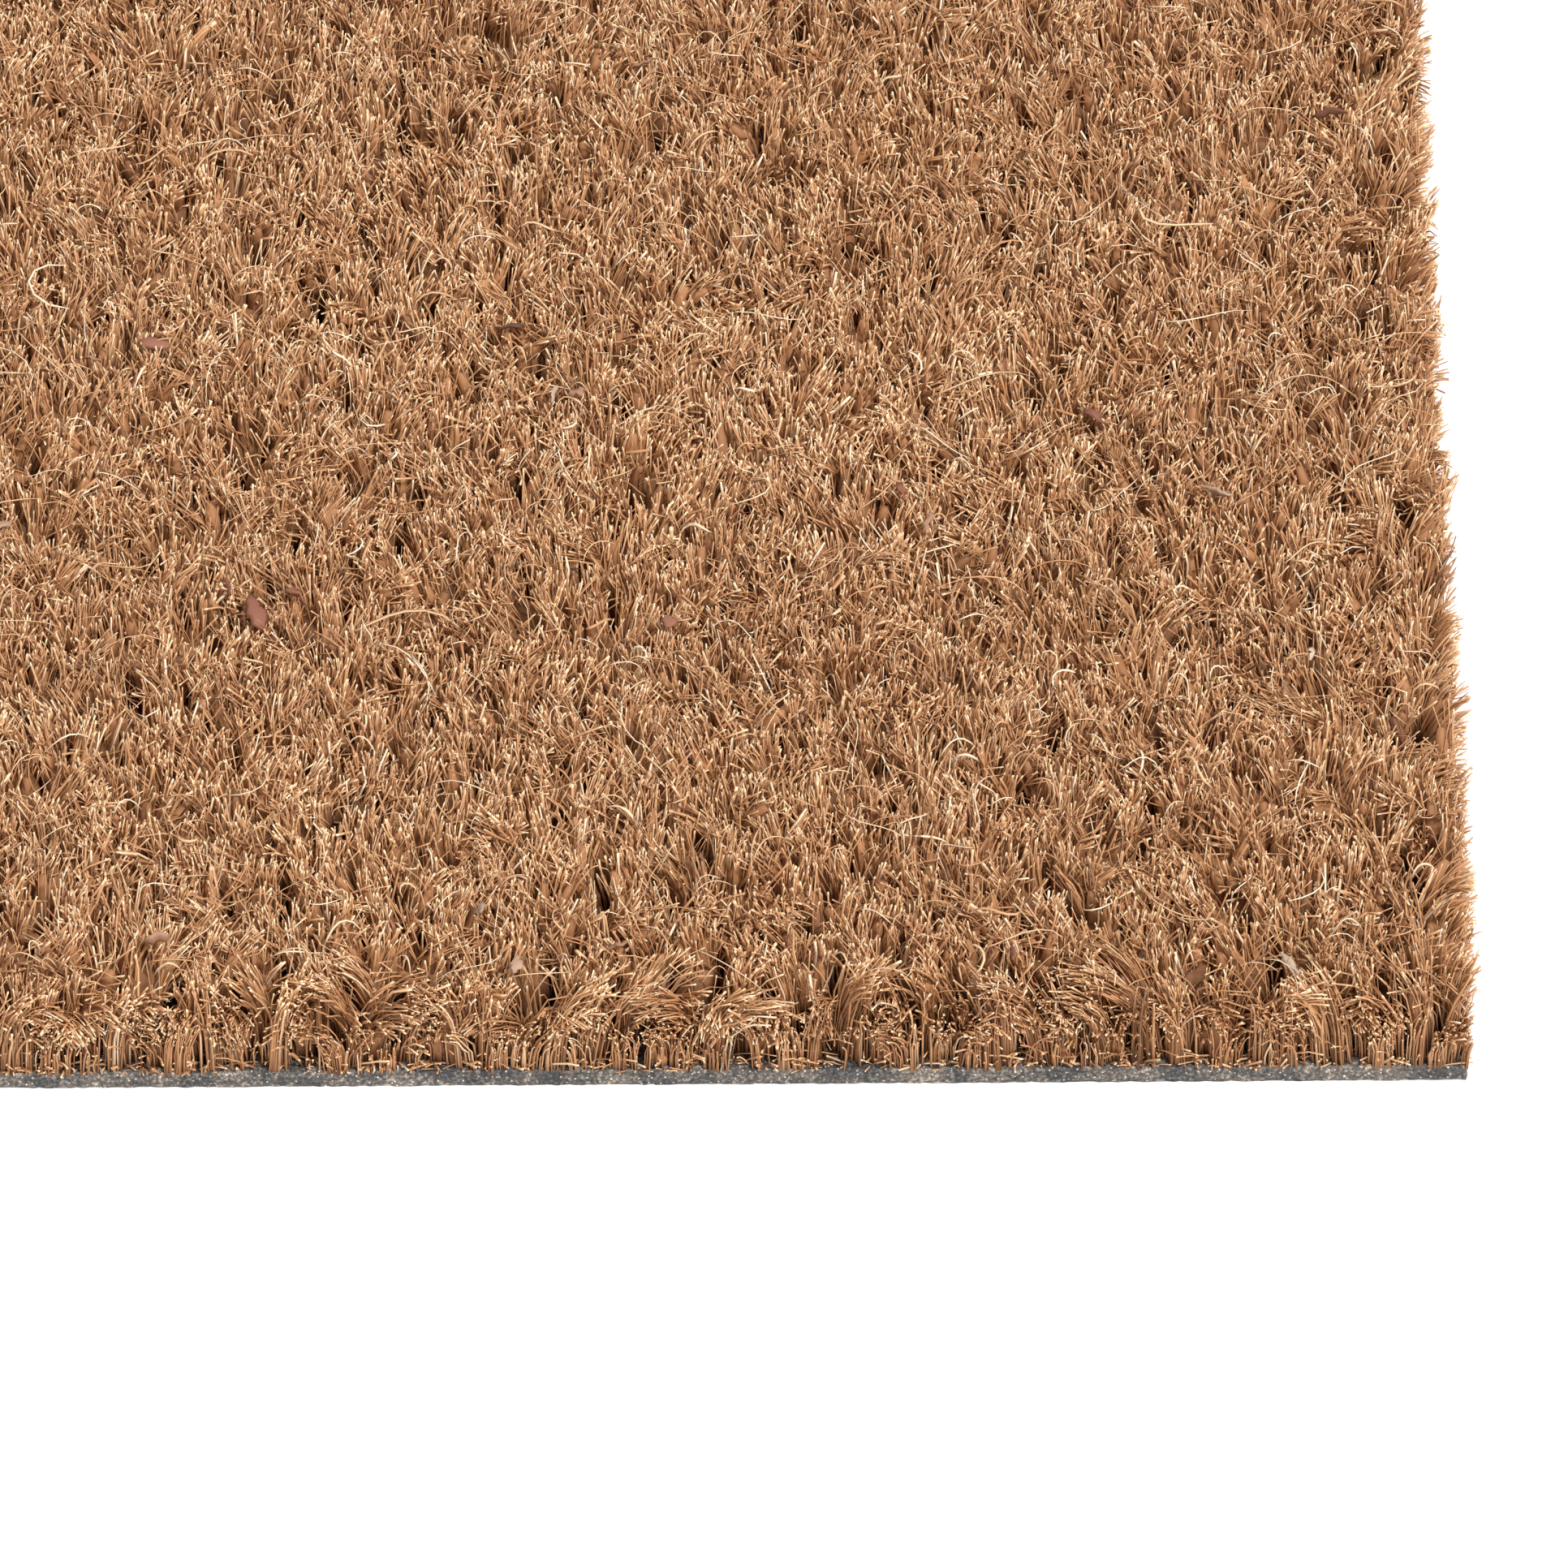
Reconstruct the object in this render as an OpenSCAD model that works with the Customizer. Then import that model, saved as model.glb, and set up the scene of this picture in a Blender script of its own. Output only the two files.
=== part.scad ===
// Coir door mat: a PVC backing slab with a dense pile of cut coir tufts
// standing in rows on it. Millimetres, +Z up, origin at the middle of the underside.

/* [Mat] */
// Length of the mat, along X
mat_length = 600; // [400:10:900]
// Width of the mat, along Y
mat_width = 400; // [300:10:600]

/* [Backing] */
// Thickness of the PVC backing slab
backing_t = 2.5; // [1.5:0.1:4]

/* [Pile] */
// Height of the cut pile above the backing
pile_h = 14.5; // [8:0.5:20]
// Diameter of one cut tuft of coir yarn
tuft_d = 7.3; // [6:0.1:9]
// Least depth by which neighbouring tufts of one row press into each other
tuft_press = 0.2; // [0.1:0.05:0.5]
// Least clear gap between the tufts of neighbouring rows
row_gap = 0.4; // [0.3:0.1:1.5]

/* [Hidden] */
// Bands that the rows are shared out between, numbered from the front edge
band_count = 29;
// Facets of a tuft's circle
tuft_facets = 32;

// Tufts along a full row, which reaches both ends of the mat, and their spacing
tuft_steps = ceil((mat_length - tuft_d) / (tuft_d - tuft_press));
tuft_pitch = (mat_length - tuft_d) / tuft_steps;
// Rows nest: each is shifted by half a tuft pitch from the one before it
closest_rows = sqrt(pow(tuft_d + row_gap, 2) - pow(tuft_pitch / 2, 2));
row_steps = floor((mat_width - tuft_d) / closest_rows);
row_pitch = (mat_width - tuft_d) / row_steps;
row_count = row_steps + 1;

// Name of a band, with two digits
function band_name(band) = str("tuft_band_", band < 10 ? "0" : "", band);
// First row of a band; one past the last band gives one past the last row
function first_row(band) = floor((band - 1) * row_count / band_count);

// Slab of black PVC, cut square at its four edges
module pvc_backing() {
    color("dimgray")
        translate([-mat_length / 2, -mat_width / 2, 0])
            cube([mat_length, mat_width, backing_t]);
}

// One row of cut tufts along X, pressed together side by side.
// Every second row starts half a pitch further in and has one tuft less.
module tuft_row(row) {
    steps = tuft_steps - row % 2;
    row_y = row * row_pitch - (mat_width - tuft_d) / 2;
    translate([0, row_y, backing_t])
        linear_extrude(height = pile_h)
            for (i = [0 : steps])
                translate([(i - steps / 2) * tuft_pitch, 0])
                    circle(d = tuft_d, $fn = tuft_facets);
}

// The neighbouring rows that share one band
module tuft_band(band) {
    color("peru")
        for (row = [first_row(band) : first_row(band + 1) - 1])
            tuft_row(row);
}

pvc_backing();
for (band = [1 : band_count])
    tuft_band(band);
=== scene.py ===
"""Looks of the coir door mat: a dense pile of cut coconut fibre on a granular PVC backing."""
import math

import bpy
import numpy as np
from mathutils import Matrix, Vector


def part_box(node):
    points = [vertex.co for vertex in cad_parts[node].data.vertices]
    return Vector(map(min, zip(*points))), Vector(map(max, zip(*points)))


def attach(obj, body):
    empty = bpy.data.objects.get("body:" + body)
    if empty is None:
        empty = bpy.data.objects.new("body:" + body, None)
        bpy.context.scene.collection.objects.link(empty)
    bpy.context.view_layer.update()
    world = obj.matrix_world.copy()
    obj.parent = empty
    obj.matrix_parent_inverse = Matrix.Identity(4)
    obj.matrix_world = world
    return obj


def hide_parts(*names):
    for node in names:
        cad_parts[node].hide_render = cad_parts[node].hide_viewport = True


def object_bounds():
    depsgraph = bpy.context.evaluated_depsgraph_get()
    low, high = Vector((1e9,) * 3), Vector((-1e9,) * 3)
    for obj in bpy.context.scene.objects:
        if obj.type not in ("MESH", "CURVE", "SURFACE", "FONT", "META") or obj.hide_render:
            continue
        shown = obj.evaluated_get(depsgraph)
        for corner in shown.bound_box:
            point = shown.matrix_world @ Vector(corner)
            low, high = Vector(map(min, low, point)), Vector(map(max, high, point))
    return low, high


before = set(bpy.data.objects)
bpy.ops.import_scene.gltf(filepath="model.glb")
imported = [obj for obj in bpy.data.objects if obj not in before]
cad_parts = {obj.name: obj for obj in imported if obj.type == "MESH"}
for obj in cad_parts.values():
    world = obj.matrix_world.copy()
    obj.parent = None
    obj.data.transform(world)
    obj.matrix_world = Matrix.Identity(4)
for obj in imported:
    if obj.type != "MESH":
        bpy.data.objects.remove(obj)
cad_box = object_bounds()

MM = 0.001
SEED = 20

# ---------------------------------------------------------------- sizes
# The layout of the tufts, as the CAD model spaces them
TUFT_D = 7.3 * MM
TUFT_PRESS = 0.2 * MM
ROW_GAP = 0.4 * MM
MAT_LO, MAT_HI = np.array(cad_box[0]), np.array(cad_box[1])
BACKING_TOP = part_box("pvc_backing")[1].z
PILE_TOP = MAT_HI[2]
PILE_H = PILE_TOP - BACKING_TOP
BANDS = sorted(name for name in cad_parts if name.startswith("tuft_band"))

tuft_steps = math.ceil((MAT_HI[0] - MAT_LO[0] - TUFT_D) / (TUFT_D - TUFT_PRESS))
tuft_pitch = (MAT_HI[0] - MAT_LO[0] - TUFT_D) / tuft_steps
closest_rows = math.sqrt((TUFT_D + ROW_GAP) ** 2 - (tuft_pitch / 2) ** 2)
row_steps = math.floor((MAT_HI[1] - MAT_LO[1] - TUFT_D) / closest_rows)
row_pitch = (MAT_HI[1] - MAT_LO[1] - TUFT_D) / row_steps
row_count = row_steps + 1

# The real mat's tufts: how far they stand off their places, and how far in from the end of a
# row a cut half tuft stands, in tuft diameters
TUFT_SHIFT = 0.4 * MM
HALF_TUFT_IN = 0.28
# The cut edges act on a tuft whose centre is within this many tuft diameters of them
EDGE_REACH = 1.5

# The corner that is modelled with the most fibres: 198 mm along the front edge, 216 mm deep.
# For most tufts it reaches up to FADE further, at random, so that its outline doesn't show.
FINE_X = MAT_HI[0] - 198 * MM
FINE_Y = MAT_LO[1] + 216 * MM
FADE, FADED_SHARE = 22 * MM, 0.8

# ---------------------------------------------------------------- tufts, strands and fibres
# Points along a fibre before it is trimmed, and the rings it keeps, as shares of its length
GRID = np.linspace(0, 1, 17)
BENT = (0, 0.45, 0.68, 0.86, 1)
STRAIGHT = (0, 0.62, 1)
COARSE = (0, 0.6, 1)

# The fibres of each kind of tuft. Thick fibres catch more light, so they stand straighter and
# are a little darker: the lower tint of the coarse tufts is painted shade, for the shade that
# the finer, denser fibres of the corner cast on each other.
END_TUFT = dict(count=104, steps=BENT, width=0.24 * MM)
FINE_TUFT = dict(count=65, steps=BENT, width=0.25 * MM)
FINE_FILLING = dict(count=20, steps=STRAIGHT, width=0.24 * MM, cored=False)
COARSE_TUFT = dict(count=31, steps=COARSE, width=0.42 * MM,
                   calm=0.7, tint=0.45)
FRONT_TUFT = dict(count=180, steps=BENT, width=0.24 * MM)
FRONT_FILLING = dict(count=44, steps=BENT, width=0.24 * MM, cored=False)
# Filling tufts stand between the front ones, this far out
FILLING_OUT = 0.8 * MM
END_SPILL, FRONT_SPILL, SPILL_WIDTH = 12, 20, 0.25 * MM

# A tuft is a few strands of yarn. Its radius, and how much it grows at a cut edge, are shares
# of TUFT_D.
STRANDS = 5
TUFT_RADIUS, EDGE_TUFT_GROWTH = 0.50, 0.04
# The radius of a strand, and the square of how far out it stands, as shares of the tuft's
# radius, and how unevenly strands stand round the tuft, in radians
STRAND_RADIUS = 0.42
STRAND_REACH_SQUARED = (0.10, 0.62)
STRAND_TURN = 0.25
# Fibres stand at least this far in from the cut edges of the backing, and start this deep in it
ROOT_INSET_MM = (0.1, 0.5)
ROOT_DEPTH = 0.4 * MM

# Bends, in radians at the tip: the spread that tuft, strand and fibre add, and the fibres that
# go their own way
TUFT_BEND, STRAND_BEND, FIBRE_BEND = 0.14, 0.48, 0.17
MESSY_SHARE, MESSY_BEND = 0.14, 0.5
# Neighbouring tufts lean together, in patches of these sizes for x and for y
AREA_BEND, AREA_CELLS = 0.06, (31 * MM, 27 * MM)
# CURL above 1 puts most of the bend near the tip, and FAN opens a tuft from its middle
CURL, FAN = 1.5, 0.10
# The most that a strand bends along x or y, and that a fibre bends
STRAND_LIMIT, TIP_LIMIT = 1.3, 2.3
# Tufts at a cut edge lean out over it, and their strands spread along it
EDGE_LEAN, EDGE_FIBRE_LEAN = 0.10, 0.6
EDGE_TUFT_SWEEP, EDGE_SWEEP, EDGE_SPREAD = 0.08, 0.20, 0.10
# Some strands of the edge tufts flop right over the edge
FLOPPED, FLOP_OUT, FLOP_ALONG = 0.45, (0.8, 1.9), 0.8
# Strands draw together towards the tip by this share of their width
PINCH, PINCH_SPREAD = 0.15, 0.12
# Fibres wave from side to side, a few times in their length
CRIMP, WAVES = 0.34 * MM, (1.0, 3.0)

# Lengths, as shares of the height of the pile. Some fibres are short.
LENGTH, SHORT_SHARE, SHORT_LENGTH = (1.15, 1.3), 0.12, (0.55, 0.95)
FLOP_LENGTH = (0.66, 0.84)
# The height the pile is shorn at, how uneven that is, and how far it drops to the sides of a
# tuft and of a strand
SHORN_ABOVE = 0.7 * MM
TUFT_UNEVEN, STRAND_UNEVEN, FIBRE_UNEVEN = 0.35 * MM, 0.45 * MM, 0.15 * MM
DOME, STRAND_DOME = 1.2 * MM, 1.1 * MM
# How far past the edge of the mat strands are cut, and fibres in them, and the limits of that
OVERHANG, OVERHANG_SPREAD = 0.5 * MM, 0.6 * MM
OVERHANG_FIBRE_MM = (-0.3, 0.7)
OVERHANG_LIMITS = (-0.6 * MM, 2.2 * MM)
# A fibre is cut no shorter than this many points of the grid
SHORTEST = 1.5
TINY = 1e-9

# Thickness and tone
WIDTH_SPREAD, TAPER = 0.28, (1.1, 0.9)
TONE_SPREAD, STRAND_TONE_SPREAD = 0.11, 0.08
PATCH_TONE, PATCH_CELL = 0.05, 45 * MM
DARK_SHARE, DARK_TONES = 0.05, (0.02, 0.25)
PALE_SHARE, PALE_TONES = 0.05, (0.78, 1.0)

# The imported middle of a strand: its rings, their radii as shares of CORE_RADIUS, which is a
# share of the tuft's radius, and its length as a share of the height of the pile
CORE_STEPS, CORE_RADII, CORE_RADIUS = (0, 0.8, 1), (0.85, 1.0, 0.5), 0.28
CORE_LENGTH, FLOP_CORE_LENGTH = 1.15, 0.6
# It stands this far in from the edges of the mat, and is cut short of them and of the pile's top
CORE_INSET, CORE_BEYOND, CORE_BELOW = 1.6 * MM, -1.5 * MM, 2.8 * MM
# Painted shade: the middle of a strand stands in for its packed fibres, and its dark tone and the
# dark-rooted end of the palette that it takes are painted shade for the inside of the pile
CORE_SHADE_TONE, CORE_SIDES, CORE_SPAN = 0.24, 5, (0.0, 0.4)
# The gathered foot of a tuft, with radii as shares of TUFT_D, away from the cut edges
FOOT_RADII, FOOT_DEPTH, FOOT_BELOW, FOOT_EDGE = (0.48, 0.40), 0.3 * MM, 6.0 * MM, 0.3
# Painted shade: the foot of a tuft is darker still, a dark fill standing in for the shade at the
# bottom of the gaps between strands
FOOT_SHADE_TONE, FOOT_TONE_SPREAD, FOOT_SIDES, FOOT_SPAN = 0.13, 0.03, 6, (0.0, 0.35)


# ---------------------------------------------------------------- helpers
def smooth_noise(x, y, cell, seed):
    """Soft random field between -1 and 1 over the mat, with features about one cell wide."""
    cells, clear_of_zero = 64, 100
    grid = np.random.default_rng(seed).uniform(-1, 1, (cells, cells))
    gx, gy = x / cell + clear_of_zero, y / cell + clear_of_zero
    ix, iy = np.floor(gx).astype(int), np.floor(gy).astype(int)
    fx, fy = gx - ix, gy - iy
    fx, fy = fx * fx * (3 - 2 * fx), fy * fy * (3 - 2 * fy)

    def at(i, j):
        return grid[(ix + i) % cells, (iy + j) % cells]

    low = at(0, 0) * (1 - fx) + at(1, 0) * fx
    high = at(0, 1) * (1 - fx) + at(1, 1) * fx
    return low * (1 - fy) + high * fy


def unit(v):
    """The vectors v at length 1, and zero where v is zero."""
    return v / np.maximum(np.linalg.norm(v, axis=-1, keepdims=True), 1e-12)


def facing(turn):
    """Level unit vectors at the given turns from the x axis."""
    return np.stack([np.cos(turn), np.sin(turn)], axis=-1)


def raised(xy, z):
    """Paths in space from their places on the floor and their heights."""
    return np.concatenate([xy, z[:, :, None]], axis=2)


# A fibre's colour depends on its tone and on how far along it a point is; the place along it
# carries painted shade towards the root and a painted highlight at the cut tip. Both are held in
# one UV map, in a square of side PALETTE in its corner, so that a texture can hold every
# colour. Each tube takes a strip of it that is STRIP wide.
PALETTE = 0.125
STRIP = 0.05


def sweep(paths, radii, tones, rng, sides=3, flat=1.0, span=(0.0, 1.0)):
    """Closed tubes along paths (n, k, 3) with radii (n, k): vertices, quads, caps and UVs.

    flat is a tube's thickness over its width. span is the part of the palette from root to
    tip that it takes."""
    n, k = paths.shape[:2]
    tangent = unit(np.gradient(paths, axis=1))
    side = unit(np.cross(tangent, unit(rng.normal(size=(n, 1, 3)))))
    normal = np.cross(tangent, side)
    angle = 2 * math.pi * np.arange(sides) / sides
    ring = (side[:, :, None] * np.cos(angle)[:, None]
            + normal[:, :, None] * (flat * np.sin(angle))[:, None])
    verts = paths[:, :, None] + ring * radii[:, :, None, None]
    # the distances between rings give the place along the fibre
    stride = np.linalg.norm(np.diff(paths, axis=1), axis=2)
    along = np.concatenate([np.zeros((n, 1)), np.cumsum(stride, axis=1)], axis=1)
    along = span[0] + (span[1] - span[0]) * along / along[:, -1:]
    across = tones[:, None, None] * (1 - STRIP) + STRIP * (0.5 + 0.5 * np.cos(angle))
    uv = np.stack([np.broadcast_to(across, (n, k, sides)),
                   np.broadcast_to(along[:, :, None], (n, k, sides))], axis=-1)
    index = np.arange(n * k * sides).reshape(n, k, sides)
    here, there = index[:, :-1], index[:, 1:]
    quads = np.stack([here, np.roll(here, -1, 2), np.roll(there, -1, 2), there], axis=-1)
    caps = np.concatenate([index[:, 0, ::-1], index[:, -1]])
    return verts.reshape(-1, 3), quads.reshape(-1, 4), caps, uv.reshape(-1, 2) * PALETTE


def mesh_piece(name, parts, material, smooth=True):
    """One mesh object from the (vertices, quads, caps, UVs) of several sweeps."""
    sizes, corners, base = [], [], 0
    for part_verts, quads, caps, _ in parts:
        for faces in (quads, caps):
            sizes.append(np.full(len(faces), faces.shape[1]))
            corners.append(faces.ravel() + base)
        base += len(part_verts)
    sizes, corners = np.concatenate(sizes), np.concatenate(corners)
    verts = np.concatenate([part[0] for part in parts])
    uvs = np.concatenate([part[3] for part in parts])[corners]
    mesh = bpy.data.meshes.new(name)
    mesh.vertices.add(len(verts))
    mesh.vertices.foreach_set("co", verts.astype(np.float32).ravel())
    mesh.loops.add(len(corners))
    mesh.loops.foreach_set("vertex_index", corners.astype(np.int32))
    mesh.polygons.add(len(sizes))
    starts = np.concatenate([[0], np.cumsum(sizes)[:-1]])
    mesh.polygons.foreach_set("loop_start", starts.astype(np.int32))
    mesh.update(calc_edges=True)
    layer = mesh.uv_layers.new(name="OFBake")
    layer.uv.foreach_set("vector", uvs.astype(np.float32).ravel())
    if smooth:
        mesh.shade_smooth()
    mesh.materials.append(material)
    piece = bpy.data.objects.new(name, mesh)
    bpy.context.scene.collection.objects.link(piece)
    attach(piece, "root")
    return piece


# ---------------------------------------------------------------- materials
def node(tree, kind, **inputs):
    """A new node of this kind, with its inputs set by name."""
    made = tree.nodes.new(kind)
    for key, value in inputs.items():
        made.inputs[key].default_value = value
    return made


def grey(value):
    return (value, value, value)


def ramp(tree, factor, stops):
    """A colour ramp fed by factor. stops: (place, (red, green, blue)) pairs."""
    made = node(tree, "ShaderNodeValToRGB")
    elements = made.color_ramp.elements
    while len(elements) < len(stops):
        elements.new(0.5)
    for element, (place, colour) in zip(elements, stops):
        element.position = place
        element.color = (*colour, 1)
    tree.links.new(factor, made.inputs["Fac"])
    return made.outputs["Color"]


def mix(tree, kind, factor, a, b):
    """Colours a and b mixed by a factor, which is a number or a socket."""
    made = node(tree, "ShaderNodeMix")
    made.data_type = "RGBA"
    made.blend_type = kind
    if isinstance(factor, float):
        made.inputs["Factor"].default_value = factor
    else:
        tree.links.new(factor, made.inputs["Factor"])
    tree.links.new(a, made.inputs["A"])
    tree.links.new(b, made.inputs["B"])
    return made.outputs["Result"]


def new_material(name):
    """A material, its node tree and its shader."""
    material = bpy.data.materials.new(name)
    material.use_nodes = True
    return material, material.node_tree, material.node_tree.nodes["Principled BSDF"]


def palette_place(tree):
    """The tone and the place along the fibre, each from 0 to 1."""
    uv = node(tree, "ShaderNodeUVMap")
    uv.uv_map = "OFBake"
    scaled = node(tree, "ShaderNodeVectorMath")
    scaled.operation = "SCALE"
    scaled.inputs["Scale"].default_value = 1 / PALETTE
    tree.links.new(uv.outputs["UV"], scaled.inputs[0])
    split = node(tree, "ShaderNodeSeparateXYZ")
    tree.links.new(scaled.outputs["Vector"], split.inputs["Vector"])
    return split.outputs["X"], split.outputs["Y"]


def coir_material():
    """Coconut fibre: tan, from dark husk to bleached, with painted shade darkening it towards the
    root and a painted highlight making the cut tip pale.
    """
    material, tree, shader = new_material("coir_fibre")
    tone_at, along = palette_place(tree)
    tone = ramp(tree, tone_at, [
        (0.0, (0.11, 0.048, 0.022)),     # dark husk
        (0.15, (0.27, 0.122, 0.050)),
        (0.4, (0.50, 0.245, 0.108)),     # tan
        (0.65, (0.63, 0.352, 0.172)),
        (0.85, (0.80, 0.550, 0.330)),
        (1.0, (0.95, 0.820, 0.620)),     # bleached
    ])
    # painted shade: each fibre is darkened towards its root, standing in for the shade deep in the
    # pile
    painted_root_shade = ramp(tree, along, [
        (0.0, (0.70, 0.58, 0.50)),
        (0.30, (0.92, 0.88, 0.84)),
        (0.75, (1.0, 0.99, 0.98)),
        (1.0, grey(1.0)),
    ])
    # painted highlight: the cut end, which faces up to the light, is painted pale, more so on a
    # paler fibre
    tip_highlight = ramp(tree, along, [(0.962, grey(0.0)), (0.975, grey(1.0))])
    bleached = ramp(tree, tone_at, [(0.44, grey(0.12)), (0.61, grey(0.85))])
    tip_highlight = mix(tree, "MULTIPLY", 1.0, tip_highlight, bleached)
    # the colour of the painted tip highlight
    pale = node(tree, "ShaderNodeRGB")
    pale.outputs["Color"].default_value = (0.95, 0.74, 0.48, 1)
    fibre = mix(tree, "MULTIPLY", 1.0, tone, painted_root_shade)
    colour = mix(tree, "MIX", tip_highlight, fibre, pale.outputs["Color"])
    tree.links.new(colour, shader.inputs["Base Color"])
    roughness = ramp(tree, along, [(0.0, grey(0.9)), (0.9, grey(0.45)), (0.97, grey(0.8))])
    tree.links.new(roughness, shader.inputs["Roughness"])
    shader.inputs["Specular IOR Level"].default_value = 0.4
    return material


def husk_material():
    """Flecks of coconut husk: from dark red-brown through tan to pale."""
    material, tree, shader = new_material("husk_fleck")
    tone_at, _ = palette_place(tree)
    colour = ramp(tree, tone_at, [
        (0.0, (0.090, 0.040, 0.024)),
        (0.3, (0.250, 0.090, 0.050)),
        (0.6, (0.360, 0.190, 0.110)),
        (0.8, (0.420, 0.300, 0.220)),
        (1.0, (0.640, 0.500, 0.360)),
    ])
    tree.links.new(colour, shader.inputs["Base Color"])
    shader.inputs["Roughness"].default_value = 0.7
    return material


def pvc_material():
    """Charcoal PVC: granular, with pale grains and dust in it. Texture scales are per metre."""
    material, tree, shader = new_material("pvc_granular")
    place = node(tree, "ShaderNodeTexCoord")
    grain = node(tree, "ShaderNodeTexNoise", Scale=1900.0, Detail=3.0, Roughness=0.7)
    cloud = node(tree, "ShaderNodeTexNoise", Scale=150.0, Detail=4.0, Roughness=0.6)
    specks = node(tree, "ShaderNodeTexVoronoi", Scale=1300.0)
    for texture in (grain, cloud, specks):
        tree.links.new(place.outputs["Object"], texture.inputs["Vector"])
    body = ramp(tree, grain.outputs["Fac"], [
        (0.30, (0.018, 0.018, 0.019)),
        (0.52, (0.075, 0.074, 0.074)),
        (0.72, (0.30, 0.28, 0.26)),
    ])
    dust = ramp(tree, cloud.outputs["Fac"], [
        (0.40, grey(0.7)),
        (0.62, (2.2, 1.9, 1.6)),
    ])
    pale = ramp(tree, specks.outputs["Distance"], [
        (0.10, (0.50, 0.43, 0.35)),
        (0.22, grey(0.0)),
    ])
    colour = mix(tree, "ADD", 1.0, mix(tree, "MULTIPLY", 1.0, body, dust), pale)
    tree.links.new(colour, shader.inputs["Base Color"])
    shader.inputs["Roughness"].default_value = 0.75
    bump = node(tree, "ShaderNodeBump", Strength=0.5, Distance=0.2 * MM)
    tree.links.new(grain.outputs["Fac"], bump.inputs["Height"])
    tree.links.new(bump.outputs["Normal"], shader.inputs["Normal"])
    return material


# ---------------------------------------------------------------- the pile
# Each piece draws from its own seed, so that a change to one leaves the others alone.
def row_tufts(row):
    """X and Y of every tuft of a row; the rows that start further in end in cut half tufts."""
    steps = tuft_steps - row % 2
    xs = (np.arange(steps + 1) - steps / 2) * tuft_pitch
    if row % 2:
        half_in = HALF_TUFT_IN * TUFT_D
        xs = np.concatenate([xs, [MAT_LO[0] + half_in, MAT_HI[0] - half_in]])
    y = row * row_pitch + MAT_LO[1] + TUFT_D / 2
    return np.column_stack([xs, np.full(len(xs), y)])


def band_tufts(number):
    """X and Y of the tufts of one CAD band, with the real mat's small shifts."""
    rng = np.random.default_rng(SEED * 100 + number)
    first = (number * row_count) // len(BANDS)
    last = ((number + 1) * row_count) // len(BANDS)
    centres = np.concatenate([row_tufts(row) for row in range(first, last)])
    return centres + rng.normal(0, TUFT_SHIFT, centres.shape)


def edge_pull(centres):
    """How near a tuft is to the cut edges, as a vector pointing outwards: 1 long at the edge."""
    to_edge = np.stack([centres - MAT_LO[:2], MAT_HI[:2] - centres], axis=1)
    nearness = np.clip(EDGE_REACH - to_edge / TUFT_D, 0, 1)
    return nearness[:, 1] - nearness[:, 0]


def trimmed(paths, steps, spare, top):
    """Points of the paths at the given steps, each path cut where it rises above top or leaves
    the mat by spare."""
    last = paths.shape[1] - 1
    beyond = np.concatenate([paths[..., :2] - MAT_HI[:2] - spare[:, None, None],
                             MAT_LO[:2] - spare[:, None, None] - paths[..., :2],
                             paths[..., 2:] - top[:, None, None]], axis=2).max(axis=2)
    outside = beyond[:, 1:] > 0
    first = np.where(outside.any(axis=1), outside.argmax(axis=1), last - 1)
    each = np.arange(len(paths))
    before, after = beyond[each, first], beyond[each, first + 1]
    share = np.where(after > 0, -before / np.maximum(after - before, TINY), 1)
    end = np.maximum(first + np.clip(share, 0, 1), SHORTEST)
    place = np.array(steps)[None, :] * end[:, None]
    low = np.minimum(place.astype(int), last - 1)
    part = (place - low)[:, :, None]
    each = each[:, None]
    return paths[each, low] * (1 - part) + paths[each, low + 1] * part


def curled(stand, offset, bend, length, pinch):
    """Places and heights of fibres that start at stand + offset and bend over with the curve
    through stand."""
    amount = np.minimum(np.linalg.norm(bend, axis=1), TIP_LIMIT)
    towards = unit(bend)
    angle = amount[:, None] * GRID ** CURL
    middle = (angle[:, 1:] + angle[:, :-1]) / 2
    stride = length[:, None] / (len(GRID) - 1)
    over = np.pad(np.cumsum(np.sin(middle) * stride, axis=1), ((0, 0), (1, 0)))
    rise = np.pad(np.cumsum(np.cos(middle) * stride, axis=1), ((0, 0), (1, 0)))
    offset = offset[:, None] * (1 - pinch[:, None] * GRID)[:, :, None]
    ahead = (offset * towards[:, None]).sum(axis=2)
    over = over - ahead * (1 - np.cos(angle))
    xy = stand[:, None] + offset + towards[:, None] * over[:, :, None]
    return xy, BACKING_TOP - ROOT_DEPTH + rise - ahead * np.sin(angle)


def strand_places(size, rng):
    """Where the strands stand in their tufts, from the tufts' centres."""
    tufts = len(size)
    turn = 2 * math.pi * (np.arange(STRANDS) / STRANDS + rng.uniform(0, 1, (tufts, 1)))
    turn += rng.normal(0, STRAND_TURN, turn.shape)
    reach = np.sqrt(rng.uniform(*STRAND_REACH_SQUARED, (tufts, STRANDS))) * size[:, None]
    return facing(turn) * reach[:, :, None]


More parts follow.
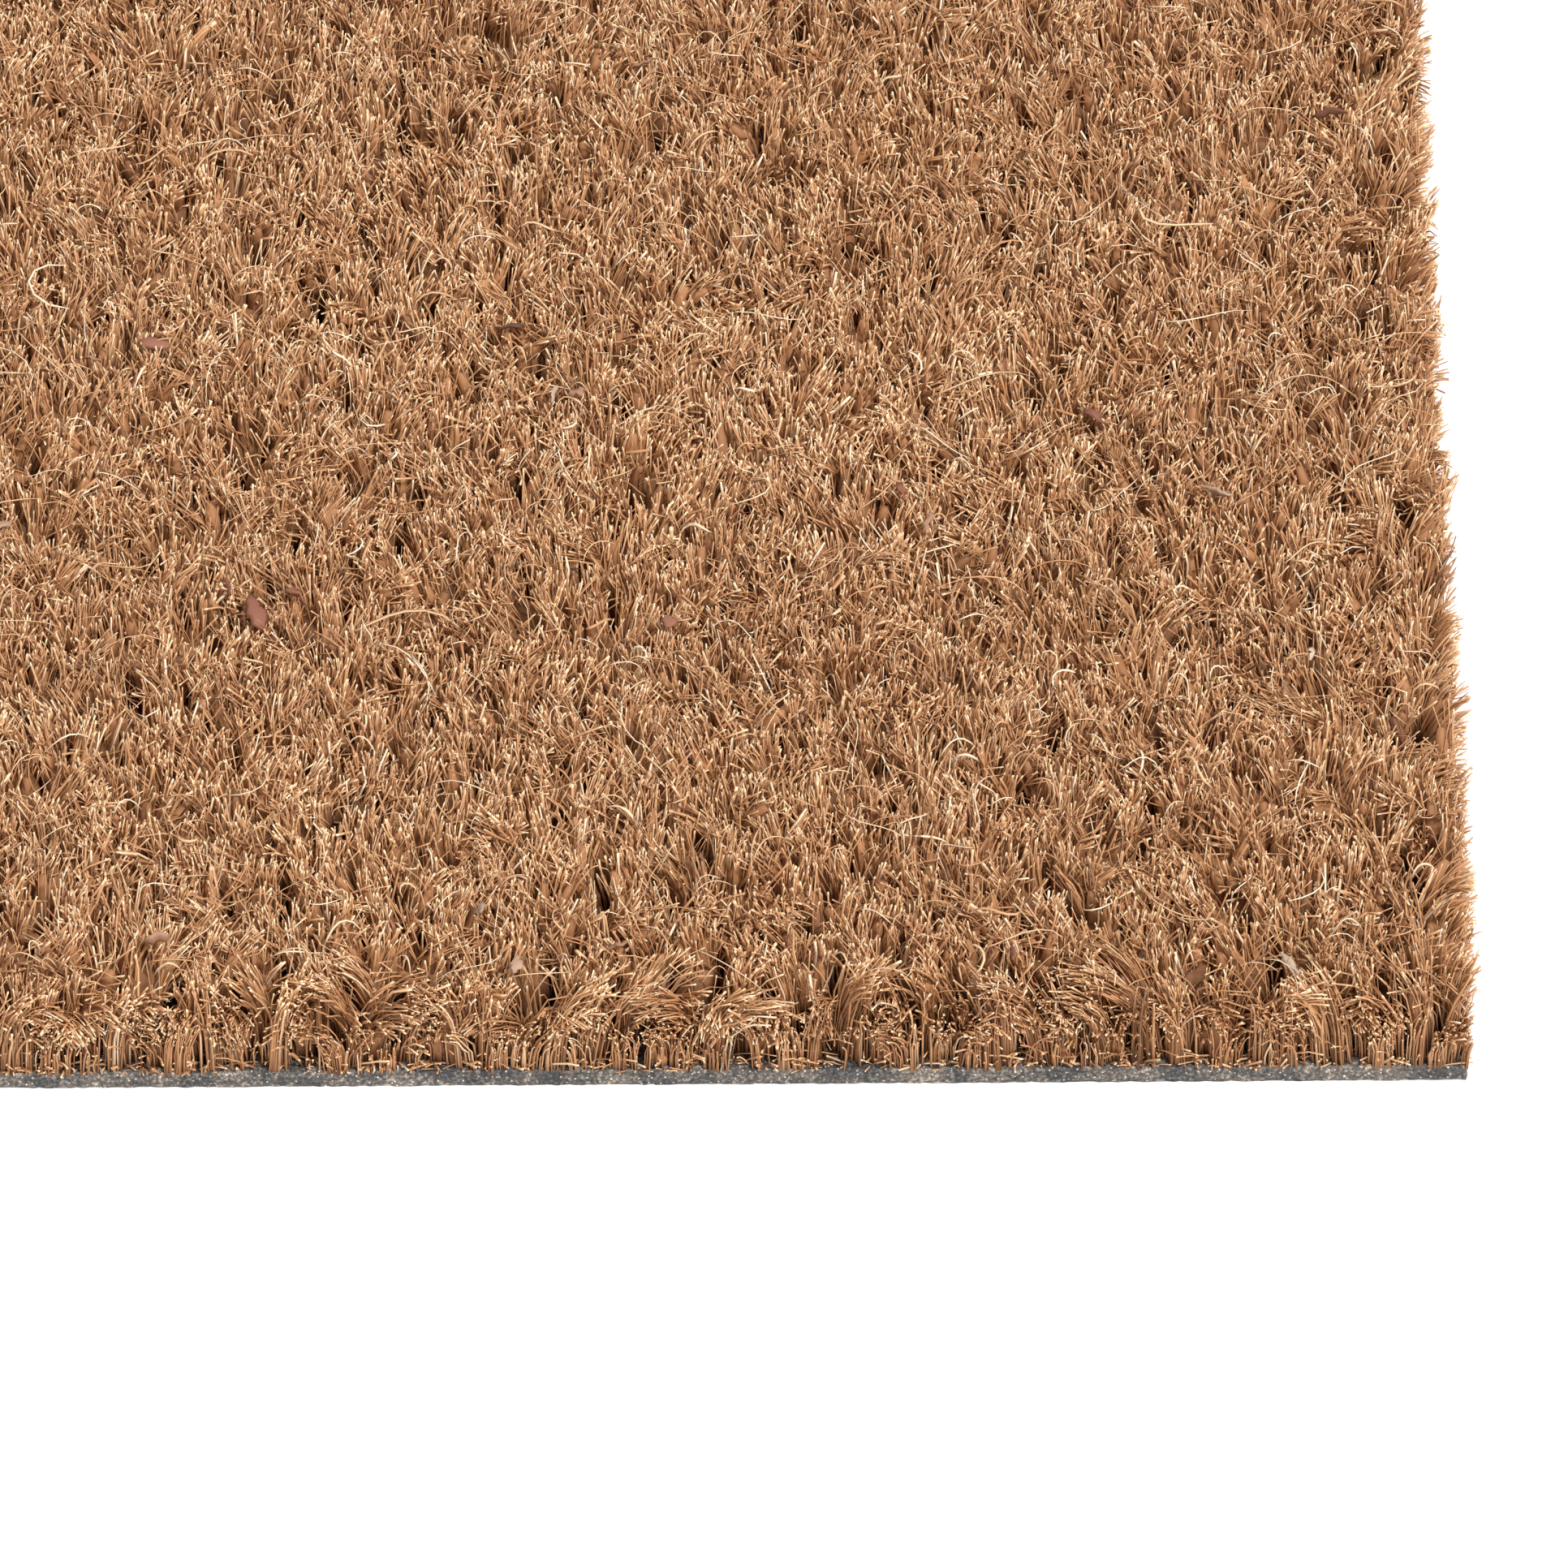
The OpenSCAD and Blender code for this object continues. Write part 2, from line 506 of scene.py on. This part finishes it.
def strand_bends(centres, pull, edge, calm, rng):
    """How far over the tip of each strand bends, as a vector of angles, and which strands flop
    over the edge."""
    tufts = len(centres)
    area = AREA_BEND * np.stack([smooth_noise(*centres.T, cell, SEED + 1 + axis)
                                 for axis, cell in enumerate(AREA_CELLS)], axis=1)
    along_edge = np.abs(pull[:, ::-1])
    tuft_spread = TUFT_BEND + EDGE_TUFT_SWEEP * along_edge
    strand_spread = calm * STRAND_BEND + EDGE_SPREAD * edge[:, None] + EDGE_SWEEP * along_edge
    bend = rng.normal(size=(tufts, 2)) * tuft_spread + area + pull * EDGE_LEAN
    bend = bend[:, None] + rng.normal(size=(tufts, STRANDS, 2)) * strand_spread[:, None]
    flop = rng.uniform(size=(tufts, STRANDS)) < FLOPPED * edge[:, None]
    over = unit(pull)[:, None] * rng.uniform(*FLOP_OUT, (tufts, STRANDS, 1))
    over = over + unit(along_edge)[:, None] * rng.normal(0, FLOP_ALONG, (tufts, STRANDS, 1))
    return np.where(flop[:, :, None], over, np.clip(bend, -STRAND_LIMIT, STRAND_LIMIT)), flop


def crimp(xy, rng):
    """Makes the fibres wave from side to side, more towards the tip."""
    n = len(xy)
    wave = rng.uniform(*WAVES, n)[:, None] * GRID * 2 * math.pi
    for axis in range(2):
        phase = rng.uniform(0, 2 * math.pi, n)[:, None]
        swing = rng.normal(0, CRIMP, n)[:, None] * GRID ** 0.5
        xy[..., axis] += swing * np.sin(wave + phase)


def fibre_tones(stand, strand_tone, tint, rng):
    """Tones round tint, in patches and by strand, with some fibres much darker or paler."""
    n = len(stand)
    patch = PATCH_TONE * smooth_noise(*stand.T, PATCH_CELL, SEED + 3)
    tone = rng.normal(tint, TONE_SPREAD, n) + patch + strand_tone
    kind = rng.uniform(size=n)
    tone = np.where(kind < DARK_SHARE, rng.uniform(*DARK_TONES, n), tone)
    return np.where(kind > 1 - PALE_SHARE, rng.uniform(*PALE_TONES, n), tone)


def strand_cores(centres, strands_at, size, bend, flop, top, strand_tone, rng):
    """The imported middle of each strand, below the cut ends."""
    stand = (centres[:, None] + strands_at).reshape(-1, 2)
    stand = np.clip(stand, MAT_LO[:2] + CORE_INSET, MAT_HI[:2] - CORE_INSET)
    n = len(stand)
    size = np.repeat(size, STRANDS)
    length = np.where(flop.ravel(), FLOP_CORE_LENGTH, CORE_LENGTH) * PILE_H
    paths = raised(*curled(stand, np.zeros((n, 2)), bend.reshape(-1, 2), length, np.zeros(n)))
    low = DOME * (np.linalg.norm(strands_at, axis=2).ravel() / size) ** 2
    paths = trimmed(paths, CORE_STEPS, np.full(n, CORE_BEYOND), top.ravel() - low - CORE_BELOW)
    radii = np.array(CORE_RADII) * (CORE_RADIUS * size)[:, None]
    # painted shade: the dark tone of the middle of the strand
    tone = np.clip(CORE_SHADE_TONE + strand_tone.ravel(), 0, 1)
    return sweep(paths, radii, tone, rng, sides=CORE_SIDES, span=CORE_SPAN)


def tuft_feet(centres, rng):
    """The gathered foot of each tuft, where the gaps between the strands end."""
    n = len(centres)
    paths = np.repeat(np.pad(centres, ((0, 0), (0, 1)))[:, None], 2, axis=1)
    paths[:, 0, 2], paths[:, 1, 2] = BACKING_TOP - FOOT_DEPTH, PILE_TOP - FOOT_BELOW
    # painted shade: the dark tone of the foot
    tone = np.clip(rng.normal(FOOT_SHADE_TONE, FOOT_TONE_SPREAD, n), 0, 1)
    radii = np.array(FOOT_RADII) * TUFT_D * np.ones((n, 1))
    return sweep(paths, radii, tone, rng, sides=FOOT_SIDES, span=FOOT_SPAN)


def fibres(centres, rng, count, steps, width, cored=True, calm=1.0, tint=0.5):
    """The fibres of the tufts at centres, count in each, with rings at the given steps.

    A tuft is a few strands of yarn. Each strand curls over as one, taking its cut end with
    it. calm scales how far strands bend and differ in height, and tint is the middle tone."""
    tufts = len(centres)
    n = tufts * count
    tuft = np.repeat(np.arange(tufts), count)
    strand = rng.integers(0, STRANDS, n)
    pull = edge_pull(centres)
    edge = np.clip(np.linalg.norm(pull, axis=1), 0, 1)
    # where the strands stand in the tuft, and the fibres in the strand
    size = (TUFT_RADIUS + EDGE_TUFT_GROWTH * edge) * TUFT_D
    strands_at = strand_places(size, rng)
    stand = (centres[:, None] + strands_at)[tuft, strand]
    turn, out = rng.uniform(0, 2 * math.pi, n), np.sqrt(rng.uniform(0, 1, n))
    offset = facing(turn) * (out * STRAND_RADIUS * size[tuft])[:, None]
    inset = rng.uniform(*ROOT_INSET_MM, (n, 2)) * MM
    offset = np.clip(stand + offset, MAT_LO[:2] + inset, MAT_HI[:2] - inset) - stand
    from_centre = stand + offset - centres[tuft]
    # how far over the tip bends, as a vector of angles: tuft, strand and fibre each add to it
    strand_bend, flop = strand_bends(centres, pull, edge, calm, rng)
    messy = rng.uniform(size=n) < MESSY_SHARE
    spread = np.where(messy, MESSY_BEND, FIBRE_BEND)[:, None]
    bend = strand_bend[tuft, strand] + rng.normal(size=(n, 2)) * spread
    bend += pull[tuft] * (rng.uniform(0, 1, n) ** 2 * EDGE_FIBRE_LEAN)[:, None]
    bend += FAN * from_centre / size[tuft, None]
    # lengths, and the height the pile is shorn at: tuft by tuft, strand by strand, fibre by fibre
    length = PILE_H * rng.uniform(*LENGTH, n)
    length *= np.where(rng.uniform(size=n) < SHORT_SHARE, rng.uniform(*SHORT_LENGTH, n), 1)
    length *= np.where(flop[tuft, strand], rng.uniform(*FLOP_LENGTH, n), 1)
    strand_top = PILE_TOP + SHORN_ABOVE + rng.normal(0, calm * TUFT_UNEVEN, (tufts, 1))
    strand_top = strand_top + rng.normal(0, calm * STRAND_UNEVEN, (tufts, STRANDS))
    top = strand_top[tuft, strand] + rng.normal(0, FIBRE_UNEVEN, n)
    aside = np.linalg.norm(from_centre, axis=1) / size[tuft]
    top -= DOME * aside ** 2 + STRAND_DOME * out ** 2
    pinch = rng.normal(PINCH, PINCH_SPREAD, (tufts, STRANDS))[tuft, strand]
    xy, z = curled(stand, offset, bend, length, pinch)
    crimp(xy, rng)
    spare = rng.normal(OVERHANG, OVERHANG_SPREAD, (tufts, STRANDS))[tuft, strand]
    spare += rng.uniform(*OVERHANG_FIBRE_MM, n) * MM
    paths = trimmed(raised(xy, z), steps, np.clip(spare, *OVERHANG_LIMITS), top)
    # thickness and tone
    radius = width * np.exp(rng.normal(0, WIDTH_SPREAD, n)) / 2
    radii = radius[:, None] * np.linspace(*TAPER, len(steps))
    strand_tone = rng.normal(0, STRAND_TONE_SPREAD, (tufts, STRANDS))
    tone = fibre_tones(stand, strand_tone[tuft, strand], tint, rng)
    grown = sweep(paths, radii, np.clip(tone, 0, 1), rng)
    if not cored:
        return [grown]
    cores = strand_cores(centres, strands_at, size, strand_bend, flop, strand_top,
                         strand_tone, rng)
    return [grown, cores, tuft_feet(centres[edge < FOOT_EDGE], rng)]


# Spilled fibres: where they are rooted, in tuft diameters along the edge and outwards from the
# tuft's middle, and how far in from the cut edge of the backing at least
SPILL_ALONG, SPILL_OUT = (-0.6, 0.6), (-0.1, 0.45)
SPILL_INSET, SPILL_DEPTH = 0.3 * MM, 0.2 * MM
# How far they lean out, spread along the edge and rise, as shares of their length. SPILL_ARCH
# is how much of an arch they rise in, in radians, and SPILL_BOW bows them sideways.
SPILL_LENGTH_MM = (1.5, 6.5)
SPILL_LEAN, SPILL_SPREAD, SPILL_RISE = (0.3, 1.3), 0.8, (0.15, 0.9)
SPILL_ARCH, SPILL_BOW = 1.9, 0.5 * MM
SPILL_STEPS, SPILL_OVERHANG_MM = (0, 0.4, 0.75, 1), (0, 1.0)
# SPILL_SPAN starts part way along the palette, so spilled fibres get a little of the painted root
# shade and the full painted tip highlight
SPILL_WIDTH_SPREAD, SPILL_TONE, SPILL_TONE_SPREAD, SPILL_SPAN = 0.25, 0.55, 0.18, (0.3, 1.0)


def spill(centres, count, rng):
    """Short fibres that lean out over the cut edge, at the foot of the edge tufts."""
    n = len(centres) * count
    tuft = np.repeat(np.arange(len(centres)), count)
    out = unit(edge_pull(centres))[tuft]
    aside = np.stack([-out[:, 1], out[:, 0]], axis=1)
    root = centres[tuft] + aside * rng.uniform(*SPILL_ALONG, n)[:, None] * TUFT_D
    root += out * rng.uniform(*SPILL_OUT, n)[:, None] * TUFT_D
    root = np.clip(root, MAT_LO[:2] + SPILL_INSET, MAT_HI[:2] - SPILL_INSET)
    length = rng.uniform(*SPILL_LENGTH_MM, n)[:, None] * MM
    away = out * rng.uniform(*SPILL_LEAN, n)[:, None]
    away += aside * rng.normal(0, SPILL_SPREAD, n)[:, None]
    bow = rng.normal(0, SPILL_BOW, n)[:, None] * np.sin(GRID * math.pi)
    xy = root[:, None] + GRID[:, None] * (away * length)[:, None]
    xy += bow[:, :, None] * aside[:, None]
    rise = length * rng.uniform(*SPILL_RISE, n)[:, None]
    z = BACKING_TOP - SPILL_DEPTH + rise * np.sin(GRID * SPILL_ARCH)
    spare = rng.uniform(*SPILL_OVERHANG_MM, n) * MM
    paths = trimmed(raised(xy, z), SPILL_STEPS, spare, np.full(n, PILE_TOP))
    radius = SPILL_WIDTH * np.exp(rng.normal(0, SPILL_WIDTH_SPREAD, n)) / 2
    radii = radius[:, None] * np.ones(len(SPILL_STEPS))
    tone = np.clip(rng.normal(SPILL_TONE, SPILL_TONE_SPREAD, n), 0, 1)
    return sweep(paths, radii, tone, rng, span=SPILL_SPAN)


def build_band(number, name, material):
    """The rows of one CAD band as loose fibres; the corner nearest the front right is finest."""
    rng = np.random.default_rng(SEED * 1000 + number)
    centres = band_tufts(number)
    x, y = centres.T
    fade = rng.uniform(0, FADE, len(centres)) * (rng.uniform(size=len(centres)) < FADED_SHARE)
    fine = (x > FINE_X - fade) & (y < FINE_Y + fade)
    front = fine & (y < MAT_LO[1] + TUFT_D)
    end = fine & ~front & (x > MAT_HI[0] - TUFT_D)
    inside = fine & ~end & ~front
    parts = []
    for chosen, kind in ((end, END_TUFT), (inside, FINE_TUFT), (inside, FINE_FILLING),
                         (~fine, COARSE_TUFT)):
        if chosen.any():
            parts += fibres(centres[chosen], rng, **kind)
    if end.any():
        parts.append(spill(centres[end], END_SPILL, rng))
    piece = mesh_piece("fibres_" + name[-2:], parts, material)
    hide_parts(name)
    if front.any():
        between = centres[front] + np.array([tuft_pitch / 2, -FILLING_OUT])
        parts = fibres(centres[front], rng, **FRONT_TUFT)
        parts += fibres(between, rng, **FRONT_FILLING)
        parts.append(spill(centres[front], FRONT_SPILL, rng))
        piece = mesh_piece("fibres_front_edge", parts, material)
        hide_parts(name)


# ---------------------------------------------------------------- strays and flecks
# Strays: one for each of these areas over the whole mat, and more in the fine corner
STRAY_AREA, CORNER_STRAY_AREA = 95 * MM * MM, 42 * MM * MM
SHORT_STRAYS, SHORT_STRAY_MM, LONG_STRAY_MM = 0.78, (2.5, 6.5), (6.5, 16)
BROAD_STRAYS, BROAD_STRAY_MM, THIN_STRAY_MM = 0.10, (0.32, 0.55), (0.15, 0.29)
# They curve steadily and tighten towards an end, in radians
STRAY_CURL, STRAY_TIGHTENING = 1.9, 3.0
# Their height above the pile, how far their ends sink, and their tilt as a share of their length
STRAY_HEIGHT_MM, STRAY_SINK_MM, STRAY_TILT = (0.0, 1.4), (0.3, 2.4), 0.16
# They stay this far in from the edges in the middle, and pass edges and pile by this much at most
STRAY_INSET, STRAY_OVERHANG, STRAY_TOP = 2 * MM, 1.5 * MM, 2.4 * MM
STRAY_TONE, STRAY_TONE_SPREAD, STRAY_TONES = 0.76, 0.18, (0.1, 1)
STRAY_PROFILE = (0.6, 0.9, 1, 1, 1, 0.9, 0.5)
# Places along a stray or a fleck, from end to end
HALVES = np.linspace(-0.5, 0.5, 7)


def scattered(low, high, area, rng):
    """Random places in the rectangle from low to high, one for each area."""
    return rng.uniform(low, high, (round(np.prod(high - low) / area), 2))


def build_strays(material):
    """Loose curved fibres that lie across the top of the pile."""
    rng = np.random.default_rng(SEED + 11)
    low, high = MAT_LO[:2] + STRAY_INSET, MAT_HI[:2] - STRAY_INSET
    corner = np.array([FINE_X, low[1]]), np.array([high[0], FINE_Y])
    middle = np.concatenate([scattered(low, high, STRAY_AREA, rng),
                             scattered(*corner, CORNER_STRAY_AREA, rng)])
    n = len(middle)
    short = rng.uniform(size=n) < SHORT_STRAYS
    length = np.where(short, rng.uniform(*SHORT_STRAY_MM, n), rng.uniform(*LONG_STRAY_MM, n)) * MM
    curl = rng.normal(0, STRAY_CURL, n)[:, None] * HALVES
    curl += rng.normal(0, STRAY_TIGHTENING, n)[:, None] * HALVES ** 2
    turn = rng.uniform(0, 2 * math.pi, n)[:, None] + curl
    stride = facing(turn) * (length / (len(HALVES) - 1))[:, None, None]
    xy = np.cumsum(stride, axis=1)
    xy += middle[:, None] - xy.mean(axis=1, keepdims=True)
    xy = np.clip(xy, MAT_LO[:2] - STRAY_OVERHANG, MAT_HI[:2] + STRAY_OVERHANG)
    # arched, with both ends down in the pile or one end up out of it
    sink = rng.uniform(*STRAY_SINK_MM, n)[:, None] * MM * 4 * HALVES ** 2
    tilt = rng.normal(0, STRAY_TILT, n)[:, None] * length[:, None] * HALVES
    z = PILE_TOP + rng.uniform(*STRAY_HEIGHT_MM, n)[:, None] * MM - sink + tilt
    paths = raised(xy, np.minimum(z, PILE_TOP + STRAY_TOP))
    broad = rng.uniform(size=n) < BROAD_STRAYS
    width = np.where(broad, rng.uniform(*BROAD_STRAY_MM, n), rng.uniform(*THIN_STRAY_MM, n))
    radii = (width * MM / 2)[:, None] * np.array(STRAY_PROFILE)
    tone = np.clip(rng.normal(STRAY_TONE, STRAY_TONE_SPREAD, n), *STRAY_TONES)
    mesh_piece("stray_fibres", [sweep(paths, radii, tone, rng, flat=0.6, span=(0.84, 0.95))],
               material)


# Flecks of husk that stand out: mm in from the right edge, mm in from the front edge, length
# in mm, breadth in mm and tone from dark red-brown to pale
MARKED_FLECKS = ((156, 72, 5.0, 2.6, 0.25), (151, 76, 4.2, 1.8, 0.30), (160, 78, 3.0, 1.6, 0.2),
                 (23, 3.5, 3.8, 1.7, 0.85), (68, 90, 3.4, 0.9, 0.55), (122, 4, 3.4, 1.8, 0.7),
                 (109, 8, 3.0, 1.8, 0.5), (168, 9, 3.4, 2.0, 0.6))
# The others: one for each of this area, this long and this broad, and in from the mat's edges
FLECK_AREA, FLECK_LENGTH_MM, FLECK_BREADTH_MM = 2400 * MM * MM, (2, 4.6), (0.8, 2.2)
FLECK_INSET = 5 * MM
# All of them: height above the pile, tilt as a share of their length, how far their ends sink,
# how ragged their outline is, and their breadth from end to end
FLECK_HEIGHT_MM, FLECK_TILT, FLECK_SINK = (0.1, 1.1), 0.25, 0.8 * MM
FLECK_RAGGED, FLECK_UNEVEN = 0.15 * MM, (0.8, 1.2)
FLECK_PROFILE = (0.35, 0.8, 1, 1.05, 0.95, 0.75, 0.3)


def build_flecks(material):
    """Flecks of coconut husk caught in the top of the pile."""
    rng = np.random.default_rng(SEED + 12)
    n = round(np.prod(MAT_HI[:2] - MAT_LO[:2]) / FLECK_AREA)
    middle = rng.uniform(MAT_LO[:2] + FLECK_INSET, MAT_HI[:2] - FLECK_INSET, (n, 2))
    length, breadth = (rng.uniform(*sizes, n) * MM
                       for sizes in (FLECK_LENGTH_MM, FLECK_BREADTH_MM))
    tone = rng.uniform(0, 1, n)
    corner = np.array([MAT_HI[0], MAT_LO[1]])
    marked = np.array(MARKED_FLECKS)
    middle = np.concatenate([corner + marked[:, :2] * MM * [-1, 1], middle])
    length = np.concatenate([marked[:, 2] * MM, length])
    breadth = np.concatenate([marked[:, 3] * MM, breadth])
    tone = np.concatenate([marked[:, 4], tone])
    n = len(middle)
    along = facing(rng.uniform(0, 2 * math.pi, n))
    xy = middle[:, None] + along[:, None] * (length[:, None] * HALVES)[:, :, None]
    xy += rng.normal(0, FLECK_RAGGED, (n, len(HALVES), 2))
    z = PILE_TOP + rng.uniform(*FLECK_HEIGHT_MM, n)[:, None] * MM
    z = z + rng.normal(0, FLECK_TILT, n)[:, None] * length[:, None] * HALVES
    z -= FLECK_SINK * 4 * HALVES ** 2 * rng.uniform(0, 1, n)[:, None]
    radii = breadth[:, None] / 2 * np.array(FLECK_PROFILE)
    radii *= rng.uniform(*FLECK_UNEVEN, (n, len(HALVES)))
    mesh_piece("husk_flecks", [sweep(raised(xy, z), radii, tone, rng, sides=6, flat=0.3)],
               material, smooth=False)


# ---------------------------------------------------------------- backing
# The cut edge of the slab: rings of points this far apart, how rough it is inwards and in
# height, and how far its top and bottom edges are drawn in
EDGE_RINGS, EDGE_SPACING = 6, 0.8 * MM
EDGE_ROUGH, EDGE_ROUGH_HEIGHT_MM, EDGE_ROUNDING = 0.22 * MM, (-0.12, 0.12), 0.12 * MM


def build_backing(material):
    """The PVC slab with granular cut edges."""
    lo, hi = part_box("pvc_backing")
    rng = np.random.default_rng(SEED + 7)
    levels = np.linspace(lo.z, hi.z, EDGE_RINGS)
    corners = np.array([(lo.x, lo.y), (hi.x, lo.y), (hi.x, hi.y), (lo.x, hi.y)])
    outline = []
    for a, b in zip(corners, np.roll(corners, -1, 0)):
        steps = round(np.linalg.norm(b - a) / EDGE_SPACING)
        outline.append(a + (b - a) * (np.arange(steps) / steps)[:, None])
    outline = np.concatenate(outline)
    count = len(outline)
    centre = (corners[0] + corners[2]) / 2
    from_centre = outline - centre
    on_side = np.abs(np.abs(from_centre) - (corners[2] - centre)) < 1e-6
    inward = -np.sign(from_centre) * on_side
    verts = []
    for level, z in enumerate(levels):
        rough = rng.uniform(0, EDGE_ROUGH, count) + EDGE_ROUNDING * (z in (lo.z, hi.z))
        # the lowest ring stays flat on the floor
        height = z + (rng.uniform(*EDGE_ROUGH_HEIGHT_MM, count) * MM if level else np.zeros(count))
        verts.append(np.column_stack([outline + inward * rough[:, None], height]))
    verts = np.concatenate(verts)
    index = np.arange(len(levels) * count).reshape(len(levels), count)
    here, there = index[:-1], index[1:]
    quads = np.stack([here, np.roll(here, -1, 1), np.roll(there, -1, 1), there], axis=-1)
    faces = quads.reshape(-1, 4).tolist() + [index[0, ::-1].tolist(), index[-1].tolist()]
    mesh = bpy.data.meshes.new("pvc_slab")
    mesh.from_pydata(verts.tolist(), [], faces)
    mesh.materials.append(material)
    piece = bpy.data.objects.new("pvc_slab", mesh)
    bpy.context.scene.collection.objects.link(piece)
    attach(piece, "root")
    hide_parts("pvc_backing")


# ---------------------------------------------------------------- set
def build_set():
    """A pale floor just below the mat, a white surround, and one broad soft light."""
    floor_mesh = bpy.data.meshes.new("floor")
    reach = 40.0
    floor_mesh.from_pydata([(-reach, -reach, 0), (reach, -reach, 0), (reach, reach, 0),
                            (-reach, reach, 0)], [], [(0, 1, 2, 3)])
    floor = bpy.data.objects.new("floor", floor_mesh)
    floor.location.z = -0.1 * MM
    bpy.context.scene.collection.objects.link(floor)
    material, _, shader = new_material("floor")
    shader.inputs["Base Color"].default_value = (*grey(0.92), 1)
    shader.inputs["Roughness"].default_value = 0.8
    floor_mesh.materials.append(material)

    world = bpy.data.worlds.new("studio")
    world.use_nodes = True
    surround = world.node_tree.nodes["Background"]
    surround.inputs["Color"].default_value = (*grey(1.0), 1)
    surround.inputs["Strength"].default_value = 0.66
    bpy.context.scene.world = world

    # from the right, the front and above
    light_from = Vector((0.45, -0.60, 1.0))
    key = bpy.data.lights.new("key", "SUN")
    key.energy = 3.55
    key.angle = math.radians(12)
    light = bpy.data.objects.new("key", key)
    light.rotation_euler = light_from.to_track_quat("Z", "Y").to_euler()
    bpy.context.scene.collection.objects.link(light)
    bpy.context.scene.view_settings.view_transform = "Standard"


def build_camera():
    """Looks down on the front right corner, almost square to the front edge, from far off."""
    pitch, heading = math.radians(42), math.radians(0.48)
    lens_mm, sensor_mm = 400, 36
    distance = 2.236
    corner = Vector((MAT_HI[0], MAT_LO[1], 0))
    right = Vector((math.cos(heading), -math.sin(heading), 0))
    ahead = Vector((math.sin(heading), math.cos(heading), 0))
    forward = ahead * math.cos(pitch) - Vector((0, 0, math.sin(pitch)))
    up = right.cross(forward)
    # where the corner shows: to the right of the middle of the view and below it, in metres
    corner_right, corner_below = 0.0877, 0.0381
    aim = corner - right * corner_right + up * corner_below
    data = bpy.data.cameras.new("camera")
    data.lens, data.sensor_width = lens_mm, sensor_mm
    data.clip_start, data.clip_end = 0.1, 100.0
    camera = bpy.data.objects.new("camera", data)
    turn = Matrix((right, up, -forward)).transposed().to_4x4()
    camera.matrix_world = Matrix.Translation(aim - forward * distance) @ turn
    bpy.context.scene.collection.objects.link(camera)
    bpy.context.scene.camera = camera


build_camera()
build_set()
coir = coir_material()
for number, name in enumerate(BANDS):
    build_band(number, name, coir)
build_strays(coir)
build_flecks(husk_material())
build_backing(pvc_material())
